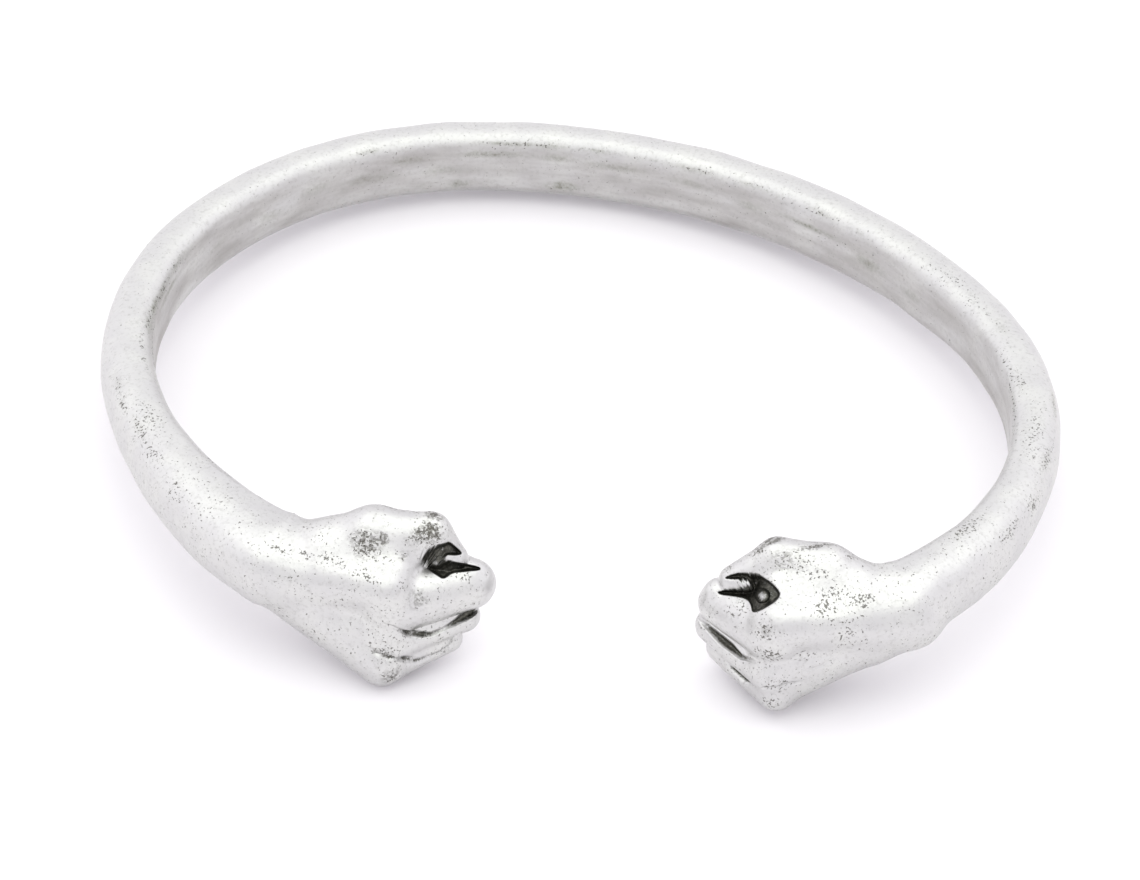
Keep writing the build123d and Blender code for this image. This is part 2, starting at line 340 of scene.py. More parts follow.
def hand(point, shape):
    """Distance to a fist: palm bones and the thumb's root blended wide, by 0.6 to 0.9 mm, and fingers
    and the thumb's tip narrow, by 0.15 to 0.35 mm, so that creases stay between them."""
    palm = bone(point, *shape["palm"][0])
    for form in shape["palm"][1:]:
        palm = blend(palm, bone(point, *form), 0.8)
    ball_of_thumb, first_bone, tip_bone = (bone(point, *form) for form in shape["thumb"])
    thumb = blend(ball_of_thumb, first_bone, 0.6)
    palm = blend(palm, thumb, 0.9)
    thumb = blend(thumb, tip_bone, 0.3)
    fingers = None
    for k in range(0, 8, 2):
        finger = blend(bone(point, *shape["fingers"][k]), bone(point, *shape["fingers"][k + 1]), 0.15)
        fingers = finger if fingers is None else blend(fingers, finger, 0.2)
    return blend(blend(palm, fingers, 0.35), thumb, 0.15)


for side, shape in HANDS.items():
    bones = sum(len(shape[name]) for name in ("palm", "fingers", "thumb"))
    print("left" if side < 0 else "right", "hand has", bones, "bones")

# %% [markdown]
# ## One skin over the whole casting
#
# The surface is a grid of two parameters: rows along the cuff and columns around it. A row starts
# from a point on a line that runs through the metal from fist to fist, and each column looks out
# from there at its own angle. At the last point of the line, inside each fist, the rows fan
# forward until they close in one pole. From well outside, each line of sight is walked in by the
# distance that is left, until it touches the metal. So the hidden line decides where the mesh is
# dense, and the distance formulas decide its shape.

# %% Rows and columns
COLUMNS = 150
FAN_ROWS = 74
FINE_ROWS, COARSE_ROWS = 0.14, 0.85  # mm from row to row in the hands and in the band
SPINE_EASE = 2.4  # mm over which the spine's corners are rounded
HAND_SPINE = {  # places on the hand from the end of the route to the point that the fan starts from
    -1: ((0.0, 0.3, 1.3), (3.0, -0.6, 0.8), (5.5, -1.4, 0.3), (8.0, -2.2, 0.0)),
    1: ((0.5, -0.6, 1.25), (3.2, -1.0, 0.8), (5.7, -1.6, 0.3), (8.1, -2.2, 0.0)),
}


def spine_line():
    """Points from fist to fist, STEP apart, and how far each is past its end of the route: the hand
    parts and the band's route in one line, smoothed by a moving average."""
    def piece(side):
        """The spine's points in one hand, outward from the route, and how far each has come."""
        corners = from_hand(HAND_SPINE[side], side)
        far = np.concatenate([[0], np.cumsum(np.linalg.norm(np.diff(corners, axis=0), axis=1))])
        at = np.arange(STEP, far[-1], STEP)
        return np.stack([np.interp(at, far, corners[:, k]) for k in range(3)], 1), at
    left, left_past = piece(-1)
    right, right_past = piece(1)
    points = np.concatenate([left[::-1], route_points, right])
    points = np.stack([moving_average(points[:, k], SPINE_EASE) for k in range(3)], 1)
    along = np.concatenate([-left_past[::-1], route_along, ROUTE + right_past])
    return points, along


spine, spine_along = spine_line()
travel = np.gradient(spine, axis=0)
travel /= np.linalg.norm(travel, axis=1)[:, None]


def row_places():
    """Distances along the spine for the rows: fine steps in the hands, easing to coarse ones in the
    band. The rows per millimetre are summed along the spine, and each row is one more in the sum."""
    into_band = np.minimum(spine_along, ROUTE - spine_along)
    ease = np.clip((into_band + 1.0) / 14.0, 0, 1)
    step = FINE_ROWS + (COARSE_ROWS - FINE_ROWS) * ease * ease * (3 - 2 * ease)
    count = np.cumsum(STEP / step)
    return np.interp(np.linspace(count[0], count[-1], int(count[-1])), count, spine_along)


rows_along = row_places()
row_origin = np.stack([np.interp(rows_along, spine_along, spine[:, k]) for k in range(3)], 1)
row_travel = np.stack([np.interp(rows_along, spine_along, travel[:, k]) for k in range(3)], 1)
row_travel /= np.linalg.norm(row_travel, axis=1)[:, None]
ring_up = np.array([0, math.sin(LIE), math.cos(LIE)])
row_out = np.cross(ring_up, row_travel)
row_out /= np.linalg.norm(row_out, axis=1)[:, None]
row_up = np.cross(row_travel, row_out)
share = np.clip(rows_along / ROUTE, 0, 1)
past = np.maximum(np.maximum(-rows_along, rows_along - ROUTE), 0)
# past the route's ends, inside the hands, the band's section shrinks away
taper = np.clip(1 - past / 8.0, 0.05, 1)
row_thick = BAND_THICK * np.interp(share, STATIONS[:, 0], STATIONS[:, 1]) * taper
row_high = BAND_HIGH * np.interp(share, STATIONS[:, 0], STATIONS[:, 2]) * taper
print(len(rows_along), "rows on the spine,", FAN_ROWS, "in each fan,", COLUMNS, "columns")

# %% Lines of sight
HAND_REACH = 13.0  # mm of band, from each end of the route, that are blended with the fist
SIGHT_START = 9.5  # mm out from the spine, well outside the metal
SIGHT_STEPS = 90
WALKED = 0.9  # share of the distance left that is walked in one step
TOUCHING = 0.002  # mm
NO_BAND = 50.0  # mm, too far for the blend to count
angle = np.linspace(0, 2 * math.pi, COLUMNS, endpoint=False)
angle = angle + 0.4 * np.cos(angle)  # closer together on top, where the fists have their cuts


def sight_lines():
    """Start, direction and row of every line of sight: out * cos + up * sin of the column's angle,
    and in a fan the same turned toward the front by up to a right angle."""
    starts, ways, rows = [], [], []
    radial = row_out[:, None] * np.cos(angle)[:, None] + row_up[:, None] * np.sin(angle)[:, None]
    tilt = np.linspace(0, math.pi / 2, FAN_ROWS, endpoint=False)[1:]
    for row, forward in ((0, -row_travel[0]), (len(rows_along) - 1, row_travel[-1])):
        lean = np.cos(tilt)[:, None, None] * radial[row] + np.sin(tilt)[:, None, None] * forward
        starts.append(np.broadcast_to(row_origin[row], lean.shape))
        ways.append(lean)
        rows.append(np.full(lean.shape[:2], row))
    starts.insert(1, np.broadcast_to(row_origin[:, None], radial.shape))
    ways.insert(1, radial)
    rows.insert(1, np.broadcast_to(np.arange(len(rows_along))[:, None], radial.shape[:2]))
    starts[0], ways[0], rows[0] = starts[0][::-1], ways[0][::-1], rows[0][::-1]
    return np.concatenate(starts), np.concatenate(ways), np.concatenate(rows)


def cuff_distance(point, row, fan):
    """Distance to the casting: the band's section in the row's own plane, blended with the fist
    where the row is near a hand. The rows of a fan see the fist alone."""
    away = point - row_origin[row]
    out = (away * row_out[row]).sum(1)
    up = (away * row_up[row]).sum(1)
    distance = np.where(fan, NO_BAND, section(out, up, row_thick[row], row_high[row]))
    along = rows_along[row]
    for side, near in ((-1, along < HAND_REACH), (1, along > ROUTE - HAND_REACH)):
        if near.any():
            fist = hand(to_hand(point[near], side), HANDS[side])
            distance[near] = blend(fist, distance[near], 1.0)
    return distance


def touch(start, way, row, fan):
    """How far along each line of sight the metal is, walking inward by the distance left."""
    far = np.full(len(start), SIGHT_START)
    active = np.arange(len(start))
    for _ in range(SIGHT_STEPS):
        gap = cuff_distance(start[active] + way[active] * far[active, None], row[active], fan[active])
        far[active] -= WALKED * gap
        active = active[(np.abs(gap) > TOUCHING) & (far[active] > 0.2)]
        if not len(active):
            break
    return far


starts, ways, rows = sight_lines()
grid_shape = rows.shape
fans = np.zeros(grid_shape, bool)
fans[:FAN_ROWS - 1] = True
fans[-(FAN_ROWS - 1):] = True
starts, ways, rows, fans = starts.reshape(-1, 3), ways.reshape(-1, 3), rows.ravel(), fans.ravel()
reach = touch(starts, ways, rows, fans)
skin = starts + ways * reach[:, None]
poles = []
for row, forward in ((0, -row_travel[0]), (len(rows_along) - 1, row_travel[-1])):
    start = row_origin[row][None]
    far = touch(start, forward[None], np.array([row]), np.array([True]))
    poles.append(start + forward * far[:, None])
print("grid", grid_shape, "reach", reach.min().round(2), "to", reach.max().round(2), "mm")

# %% [markdown]
# ## Marks of the hand
#
# The casting was filed and rubbed by hand, so no face is quite true: it has a soft unevenness a few
# millimetres long and a few hundredths deep, and each thumb has two shallow hollows. A sculpt brush
# could do it; a sum of plane waves with random directions gives the same, repeats exactly each
# time, and moves each point along its own line of sight. A hollow is one soft bell.

# %% Marks of the hand


def waves(point, seed, count, shortest, longest):
    """Sum of plane waves with random directions and lengths, scaled to a spread of about one."""
    random = np.random.default_rng(seed)
    direction = random.normal(size=(count, 3))
    direction /= np.linalg.norm(direction, axis=1)[:, None]
    length = np.exp(random.uniform(math.log(shortest), math.log(longest), count))
    phase = random.uniform(0, 2 * math.pi, count)
    total = np.zeros(len(point))
    for k in range(count):
        total += np.sin(point @ direction[k] * (2 * math.pi / length[k]) + phase[k])
    return total * math.sqrt(2 / count)


SOFT_WAVES, FINE_WAVES = 0.022, 0.007  # mm
uneven = SOFT_WAVES * waves(skin, 3, 24, 3.5, 9.0) + FINE_WAVES * waves(skin, 5, 24, 1.2, 2.6)
for side, shape in HANDS.items():
    near, place = near_hand(skin, side)
    for *middle, wide, deep in shape["hollows"]:
        uneven[near] -= deep * np.exp(-((place - middle) ** 2).sum(1) / wide ** 2)
skin = skin + ways * uneven[:, None]
print("unevenness from", uneven.min().round(3), "to", uneven.max().round(3), "mm")

# %% [markdown]
# ## From grid to mesh
#
# The grid closes on itself around the cuff, and each end closes with a ring of triangles to its
# pole. Points and faces go to Blender in one call, turned over first if the faces look inward.

# %% From grid to mesh
vertices = np.concatenate([skin, poles[0], poles[1]])
count_rows, count_columns = grid_shape
index = np.arange(count_rows * count_columns).reshape(grid_shape)
after = np.roll(index, -1, axis=1)
quads = np.stack([index[:-1], index[1:], after[1:], after[:-1]], -1).reshape(-1, 4)
first_pole, last_pole = len(skin), len(skin) + 1
first_cap = np.stack([np.full(count_columns, first_pole), index[0], after[0]], -1)
last_cap = np.stack([np.full(count_columns, last_pole), after[-1], index[-1]], -1)
corner = vertices[quads]
volume = np.einsum("ij,ij->i", corner[:, 0], np.cross(corner[:, 1], corner[:, 2])).sum() / 3
if volume < 0:
    quads, first_cap, last_cap = quads[:, ::-1], first_cap[:, ::-1], last_cap[:, ::-1]
cuff_mesh = bpy.data.meshes.new("fist_cuff_silver")
cuff_mesh.from_pydata(
    ((vertices + SET_DOWN) * MM).tolist(), [],
    quads.tolist() + first_cap.tolist() + last_cap.tolist())
cuff_mesh.update()
cuff = bpy.data.objects.new("fist_cuff_silver", cuff_mesh)
bpy.context.scene.collection.objects.link(cuff)
triangles = 2 * len(quads) + 2 * count_columns
print("cuff", len(vertices), "points,", triangles, "triangles, volume about", round(abs(volume)), "mm3")

# %% [markdown]
# ## Where the antiquing stayed
#
# After casting the silver was blackened all over and then rubbed back by hand, so the dark stays where the
# cloth doesn't reach: in the cuts, in pits left by the mould, on the flat inner face, and in patches along
# the edges. In the cuts and on the inner face the dark is also painted shade. These could be painted, but a
# list of places keeps them in the lesson:
# each mark is a soft oval with a share of stain and a share of pits, and the material breaks both
# up with fine noise. On the band the stain is a soft smudge. On the hands it is crisp, and its oval
# is first moved to the nearest point of the skin. All of it is kept on the mesh as attributes.

# %% Where the antiquing stayed
BAND_MARKS = (  # along the route, outward, upward, half length, half width, stain, pits
    (29.3, -1.5, 1.7, 1.6, 0.35, 0.8, 0.7), (27.0, -1.4, 1.9, 1.2, 0.30, 0.9, 0.8),
    (32.5, -1.5, 1.8, 2.2, 0.35, 0.7, 0.6), (25.1, -1.3, 2.0, 1.6, 0.5, 0.6, 0.8),
    (22.5, -1.6, 1.5, 3.6, 0.22, 0.3, 0.9), (21.0, -0.9, 2.2, 3.2, 0.22, 0.2, 0.9),
    (18.6, 1.0, 2.1, 1.0, 0.35, 0.5, 0.9), (16.5, 1.2, 2.1, 1.0, 0.30, 0.3, 1.0),
    (13.4, 1.0, 2.2, 1.7, 0.45, 0.3, 0.9), (11.2, 1.2, 2.1, 1.5, 0.50, 0.2, 0.9),
    (8.5, -1.5, 2.2, 1.6, 0.25, 0.3, 1.0), (6.6, -1.5, 2.2, 1.8, 0.25, 0.3, 1.0),
    (14.0, 0.2, 2.5, 3.0, 0.8, 0.0, 0.6), (7.0, 1.7, 1.9, 2.0, 0.7, 0.1, 0.6),
    (51.9, -1.3, 2.1, 0.9, 0.22, 0.7, 0.8), (62.5, -1.4, 2.0, 2.6, 0.18, 1.0, 0.7),
    (65.3, -1.4, 2.0, 0.9, 0.25, 0.9, 0.6), (68.6, -1.4, 2.0, 1.9, 0.20, 0.7, 0.6),
    (72.8, -1.4, 2.0, 0.9, 0.18, 0.5, 0.5), (76.0, -1.4, 2.0, 2.2, 0.22, 0.5, 0.6),
    (81.2, -1.3, 2.0, 2.2, 0.22, 0.6, 0.7), (86.3, -1.3, 2.0, 1.4, 0.25, 0.6, 0.7),
    (90.0, -1.3, 2.0, 1.2, 0.25, 0.5, 0.7), (99.0, -0.6, 2.3, 4.0, 0.7, 0.0, 0.5),
    (104.5, -0.3, 2.4, 0.8, 0.4, 0.4, 0.7), (108.7, -1.1, 2.1, 2.2, 0.25, 0.2, 0.9),
    (112.5, -1.3, 1.9, 3.2, 0.20, 0.4, 0.9), (110.4, -0.7, 2.3, 1.2, 0.3, 0.3, 0.9),
    (112.0, 1.2, 1.8, 1.4, 0.25, 0.7, 0.8), (117.6, 1.1, 1.9, 1.7, 0.4, 0.4, 0.9),
    (116.0, 0.0, 2.4, 3.0, 0.8, 0.0, 0.6), (121.5, 1.4, 1.4, 1.4, 0.5, 0.2, 0.9),
    (124.4, 1.4, 1.6, 1.6, 0.5, 0.2, 0.9), (126.6, -0.4, 2.4, 2.0, 0.6, 0.1, 0.9),
    (54.8, -1.6, 1.1, 1.8, 0.35, 0.7, 0.0), (52.0, -1.6, 0.1, 2.2, 0.45, 0.6, 0.0),
    (57.5, -1.6, 0.0, 1.9, 0.50, 0.5, 0.0), (61.0, -1.6, 1.2, 2.6, 0.30, 0.9, 0.1),
    (58.7, -1.6, -1.3, 0.8, 0.40, 0.9, 0.1), (55.6, -1.6, -1.2, 1.2, 0.30, 0.4, 0.0),
    (65.5, -1.6, 1.1, 2.0, 0.35, 0.6, 0.0), (70.0, -1.6, 1.0, 2.6, 0.40, 0.6, 0.1),
    (66.2, -1.6, -1.2, 1.4, 0.40, 0.9, 0.1), (47.5, -1.6, 0.4, 1.8, 0.5, 0.5, 0.0),
    (43.5, -1.6, -0.2, 1.4, 0.45, 0.5, 0.0), (38.0, -1.6, 0.2, 2.4, 0.5, 0.4, 0.0),
    (76.0, -1.6, 0.9, 2.0, 0.35, 0.5, 0.0), (80.5, -1.6, 0.5, 1.6, 0.45, 0.5, 0.0),
    (86.0, -1.6, 0.7, 2.8, 0.22, 0.9, 0.2), (91.5, -1.6, 0.2, 1.8, 0.6, 0.6, 0.0),
    (95.5, -1.6, 0.0, 1.2, 0.5, 0.5, 0.0), (30.0, -1.6, 1.0, 3.0, 0.25, 0.9, 0.1),
)
HAND_SPREAD = 1.2  # times the lengths and widths listed for the hands
HAND_MARKS = {  # along the hand, outward, upward, half length, half width, stain, pits
    -1: (
        (5.8, -1.35, 4.1, 0.95, 0.85, 0.45, 1.0), (6.5, -2.0, 4.4, 0.35, 0.35, 0.9, 0.9),
        (9.0, -3.9, 4.8, 0.65, 0.55, 0.7, 1.0), (8.5, -3.4, 4.6, 0.5, 0.4, 0.5, 1.0),
        (8.1, -3.0, 4.3, 0.45, 0.4, 0.3, 0.8), (8.1, -2.3, 3.6, 0.35, 0.35, 0.3, 0.8),
        (8.4, -5.0, 5.0, 0.55, 0.35, 0.7, 0.9), (7.0, -4.9, 4.9, 1.1, 0.25, 0.3, 0.8),
        (5.4, -4.3, 4.8, 1.6, 0.20, 0.5, 0.8), (1.2, 1.2, 3.4, 0.9, 0.30, 0.1, 0.9),
        (2.7, 0.6, 3.5, 0.8, 0.28, 0.1, 0.9), (4.4, 0.2, 3.5, 1.0, 0.30, 0.1, 0.9),
        (7.1, 0.1, 3.2, 1.3, 0.32, 0.0, 0.8), (9.4, -0.6, 2.8, 0.9, 0.5, 0.0, 0.8),
        (9.9, -1.0, 1.8, 1.0, 0.7, 0.32, 0.5), (11.5, -3.9, 2.0, 0.8, 0.4, 0.0, 0.8),
        (9.0, 1.2, -3.4, 0.5, 0.7, 0.4, 0.9), (9.2, -0.3, -0.2, 1.6, 0.5, 0.1, 0.7),
        (8.6, 1.1, -1.6, 1.4, 0.6, 0.2, 0.8), (6.0, 1.5, 1.6, 2.4, 1.4, 0.0, 0.35),
    ),
    1: (
        (7.4, -4.8, 5.0, 0.7, 0.3, 0.9, 0.9), (8.3, -4.8, 4.5, 0.6, 0.5, 0.4, 0.9),
        (5.0, -3.6, 4.9, 1.5, 0.22, 0.5, 0.9), (3.0, -2.5, 4.4, 1.6, 0.20, 0.4, 0.9),
        (7.2, -3.3, 4.6, 0.8, 0.7, 0.35, 0.5), (6.4, -2.6, 4.3, 0.8, 0.7, 0.20, 0.8),
        (5.6, -1.9, 4.2, 0.6, 0.6, 0.15, 0.8), (5.0, -0.5, 3.5, 1.2, 0.7, 0.0, 0.7),
        (3.3, 0.3, 3.3, 1.0, 0.5, 0.0, 0.9), (5.7, 0.0, 3.1, 0.7, 0.4, 0.0, 0.9),
        (9.4, 0.0, 2.3, 0.9, 0.7, 0.25, 0.8), (10.6, -2.6, 2.1, 1.1, 0.8, 0.0, 0.8),
        (4.2, 1.5, 1.8, 1.5, 1.2, 0.0, 0.6), (9.5, 0.5, 0.6, 1.1, 0.7, 0.15, 1.0),
        (9.2, 0.9, -1.6, 1.5, 0.8, 0.1, 0.9), (9.3, 0.9, -2.7, 0.9, 0.7, 0.1, 0.9),
        (7.4, 0.9, 0.2, 1.3, 0.7, 0.0, 0.6), (10.4, -5.0, 3.4, 0.8, 0.4, 0.2, 0.9),
    ),
}
print(len(BAND_MARKS), "marks on the band,", sum(map(len, HAND_MARKS.values())), "on the hands")

# %% Marks as attributes
HAND_PITS = 0.20  # share of pits all over the hands, which fades out along the band
FILM_AND_SHADE_EDGE = 0.30  # mm over which the inner face's film and painted shade fade out toward the edges


def nearest(place, spot):
    """The one of the places that is nearest to the spot."""
    return place[np.argmin(((place - spot) ** 2).sum(1))]


def oval(place, centre, long, wide):
    """A bell of the place: along its first direction by the half length, and by the half width
    in the other two."""
    away = (place - centre) / [long, wide, wide]
    return np.exp(-(away ** 2).sum(1))


def keep(name, values, kind="FLOAT", field_name="value"):
    """Puts a number or a vector at each point of the cuff's mesh, as an attribute."""
    layer = cuff_mesh.attributes.new(name, kind, "POINT")
    layer.data.foreach_set(field_name, np.asarray(values, np.float32).ravel())


away = skin - row_origin[rows]
cuff_place = np.stack([
    rows_along[rows], (away * row_out[rows]).sum(1), (away * row_up[rows]).sum(1)], 1)
into_band = np.minimum(cuff_place[:, 0], ROUTE - cuff_place[:, 0])
ring_share = np.clip((into_band - 3) / 18, 0, 1)
smudge = np.zeros(len(skin))
stain = np.zeros(len(skin))
pits = HAND_PITS * (1 - ring_share)
for *centre, long, wide, dark, pitted in BAND_MARKS:
    bell = oval(cuff_place, centre, long, wide) * ~fans
    smudge = np.maximum(smudge, dark * bell)
    pits = np.maximum(pits, pitted * bell)
for side, marks in HAND_MARKS.items():
    near, place = near_hand(skin, side)
    for *centre, long, wide, dark, pitted in marks:
        bell = oval(place, nearest(place, centre), HAND_SPREAD * long, HAND_SPREAD * wide)
        stain[near] = np.maximum(stain[near], dark * bell)
        pits[near] = np.maximum(pits[near], pitted * bell)
# the inner face's film and painted shade: 'inside' is 1 on the flat face toward the wrist
inner_face = -INWARD * row_thick[rows]
inside = np.clip(1 - (cuff_place[:, 1] - inner_face) / FILM_AND_SHADE_EDGE, 0, 1)
inside *= np.clip((into_band - 3) / 8, 0, 1)
for name, values in (
        ("stain", stain), ("smudge", smudge), ("pits", pits), ("inside", inside),
        ("ring_share", ring_share)):
    keep(name, np.append(values, [0, 0]))  # nought at the two poles
keep("cuff_place", np.append(cuff_place, np.zeros((2, 3)), axis=0), "FLOAT_VECTOR", "vector")
shares = [round(float((values > 0.3).mean()), 3) for values in (stain, smudge, pits)]
print("share of the points with a stain, a smudge and pits:", shares)

# %% [markdown]
# ## Cuts
#
# The hole in each curl, the slits from it and the grooves between the fingers were cut after casting, and the
# dark of the antiquing has stayed in them; their colour is antiquing with painted shade, darker the deeper
# the cut. Taking them out of the distance would need far more lines of sight than the rest of the cuff. So
# the faces round each cut are split in nine, and their points pushed in: at the hole along the graver's way,
# by an outline with its corners cut, and at a groove squarely into the metal, by a chain of points that is
# laid on the skin, each with a width and a depth. Last, a little smoothing takes the burrs off.

# %% Depth of the cuts
HOLE_DEPTH = 0.7
HOLE_BANK = 0.18  # mm over which the hole falls to its depth, inside its outline
HOLE_LIP = 0.03  # mm outside the outline where the bank starts
HOLE_REACH = 3.2  # mm from the hole's place, past which nothing is cut
BALL_SHARE = 0.82  # share of the hole's depth by which the fingertip stands in it
GRAVER_LEVEL, GRAVER_RISE = 0.714, 0.700  # the level and the upward share of the graver's way


def outline_distance(flat, corners):
    """Distance to a closed outline of straight sides: the nearest side's, and less than nought
    where a level line from the point crosses the sides an odd number of times."""
    closest = np.full(len(flat), np.inf)
    inside = np.zeros(len(flat), bool)
    for start, end in zip(corners, np.roll(corners, -1, axis=0)):
        way, away = end - start, flat - start
        share = np.clip(away @ way / (way @ way), 0, 1)
        closest = np.minimum(closest, np.linalg.norm(away - share[:, None] * way, axis=1))
        between = (start[1] > flat[:, 1]) != (end[1] > flat[:, 1])
        inside ^= between & (away[:, 0] < away[:, 1] * way[0] / (way[1] or 1.0))
    return np.where(inside, -closest, closest)


def rounded(corners):
    """The outline with its corners cut: each side keeps the points at a quarter and three quarters."""
    following = np.roll(corners, -1, axis=0)
    early, late = corners * 0.75 + following * 0.25, corners * 0.25 + following * 0.75
    return np.stack([early, late], 1).reshape(-1, 2)


def graver_way(shape):
    """The direction that the graver came from, in the hand's own frame."""
    aim = math.radians(shape["graver_aims"])
    return np.array([GRAVER_LEVEL * math.cos(aim), GRAVER_LEVEL * math.sin(aim), GRAVER_RISE])


def hole_view(point, shape):
    """Seen along the graver's way, the distance to the hole's outline, its corners cut twice, and to
    the middle of its fingertip as a share of its radius. The far side of the hand is left out."""
    way = graver_way(shape)
    across = np.array([way[1], -way[0], 0]) / math.hypot(way[0], way[1])
    away = point - np.array(shape["hole"])
    flat = np.stack([away @ across, away @ np.cross(across, way)], 1)
    to_outline = outline_distance(flat, rounded(rounded(np.array(shape["hole_outline"]))))
    a, b, radius = shape["fingertip"]
    to_ball = np.hypot(flat[:, 0] - a, flat[:, 1] - b) / radius
    return np.where(np.linalg.norm(away, axis=1) < HOLE_REACH, to_outline, np.inf), to_ball


def hole_depth(point, shape):
    """How deep the hole and its slits are: the full depth past the bank inside the outline, less a
    half circle for the fingertip's ball."""
    to_outline, to_ball = hole_view(point, shape)
    bank = np.clip((HOLE_LIP - to_outline) / HOLE_BANK, 0, 1)
    ball = np.sqrt(np.maximum(1 - to_ball ** 2, 0))
    return HOLE_DEPTH * bank * (2 - bank) * (1 - BALL_SHARE * ball)


def groove_shape(point, chain):
    """Depth of a groove and the distance past its edge: the chain's depth falls as
    1 - (distance / half width) squared."""
    chain = np.array(chain)
    deepest = np.zeros(len(point))
    to_edge = np.full(len(point), np.inf)
    for start, end in zip(chain, chain[1:]):
        way, away = (end - start)[:3], point - start[:3]
        share = np.clip(away @ way / (way @ way), 0, 1)
        distance = np.linalg.norm(away - share[:, None] * way, axis=1)
        half, deep = (start[k] + (end[k] - start[k]) * share for k in (3, 4))
        deepest = np.maximum(deepest, deep * np.maximum(1 - (distance / half) ** 2, 0))
        to_edge = np.minimum(to_edge, distance - half)
    return deepest, to_edge


def laid_on(chain, place):
    """The chain with each of its points moved to the nearest point of the skin."""
    return [(*nearest(place, point[:3]), *point[3:]) for point in chain]


for shape in HANDS.values():
    print("graver's way", graver_way(shape).round(2), "and", len(shape["grooves"]), "grooves")

# %% Finer faces round the cuts
SPLIT_PAST = 0.20  # mm past the edge of a hole within which faces are split
GROOVE_LESS = 0.14  # mm by which that is less at a groove


def mesh_points(mesh):
    """The points of a mesh in the ring's frame, in millimetres, and their normals."""
    count = len(mesh.vertices)
    points, normals = np.empty(count * 3), np.empty(count * 3)
    mesh.vertices.foreach_get("co", points)
    mesh.vertices.foreach_get("normal", normals)
    return points.reshape(-1, 3) / MM - SET_DOWN, normals.reshape(-1, 3)


def edit_mesh(chosen, change):
    """Opens the cuff's mesh for editing, makes the change at the chosen points, and puts it back."""
    work = bmesh.new()
    work.from_mesh(cuff_mesh)
    work.verts.ensure_lookup_table()
    change(work, [work.verts[k] for k in np.nonzero(chosen)[0]])
    work.to_mesh(cuff_mesh)
    work.free()


def split(work, points):
    """Cuts each edge that has one of the points in three, and the faces between them with it."""
    edges = {edge for point in points for edge in point.link_edges}
    edges = sorted(edges, key=lambda edge: edge.index)
    bmesh.ops.subdivide_edges(work, edges=edges, cuts=2, use_grid_fill=True)


points, _ = mesh_points(cuff_mesh)
close = np.zeros(len(points), bool)
for side, shape in HANDS.items():
    near, place = near_hand(points, side)
    shape["grooves"] = [laid_on(chain, place) for chain in shape["grooves"]]
    edge = hole_view(place, shape)[0]
    for chain in shape["grooves"]:
        edge = np.minimum(edge, groove_shape(place, chain)[1] + GROOVE_LESS)
    close[near] = edge < SPLIT_PAST
edit_mesh(close, split)
print("split round", int(close.sum()), "of", len(points), "points")

# %% The cuts
HOLE_BLACK, GROOVE_BLACK = 0.30, 0.26  # mm of depth at which the antiquing and painted shade in the cuts are full
points, normals = mesh_points(cuff_mesh)
antiquing_and_shade = np.zeros(len(points))
for side, shape in HANDS.items():
    near, place = near_hand(points, side)
    way = (from_hand(graver_way(shape), side) - from_hand((0, 0, 0), side))[0]
    facing = np.clip((normals[near] @ way - 0.05) / 0.15, 0, 1)  # 0 where the skin turns away
    deep = hole_depth(place, shape) * facing
    groove = np.max([groove_shape(place, chain)[0] for chain in shape["grooves"]], axis=0)
    groove = np.where(deep > 0, 0, groove)
    points[near] -= deep[:, None] * way + groove[:, None] * normals[near]
    # the cuts' colour mask: antiquing with painted shade, growing with the cut's depth
    antiquing_and_shade[near] = np.maximum(
        np.clip(deep / HOLE_BLACK, 0, 1), np.clip(groove / GROOVE_BLACK, 0, 1) ** 1.5)
cuff_mesh.vertices.foreach_set("co", ((points + SET_DOWN) * MM).ravel())
keep("antiquing_and_shade", antiquing_and_shade)
print("cuts in", int((antiquing_and_shade > 0).sum()), "points")

# %% Burrs off


def smooth_twice(work, points):
    """Moves each point halfway to the middle of its neighbours, two times over."""
    for _ in range(2):
        bmesh.ops.smooth_vert(
            work, verts=points, factor=0.5, use_axis_x=True, use_axis_y=True, use_axis_z=True)


edit_mesh(antiquing_and_shade > 0.02, smooth_twice)
cuff_mesh.polygons.foreach_set("use_smooth", np.ones(len(cuff_mesh.polygons), bool))
cuff_mesh.update()
triangles = sum(len(face.vertices) - 2 for face in cuff_mesh.polygons)
print("the cuff now has", triangles, "triangles")

# %% [markdown]
# ## Nodes as arithmetic
#
# Blender's materials are graphs, and a graph is slow to read. A small class wraps one socket, so a
# sum or a product of sockets can be written as one and adds the Math nodes by itself. Every other
# node comes from one method, which takes its type, its settings and what goes into its sockets.

# %% Nodes as arithmetic


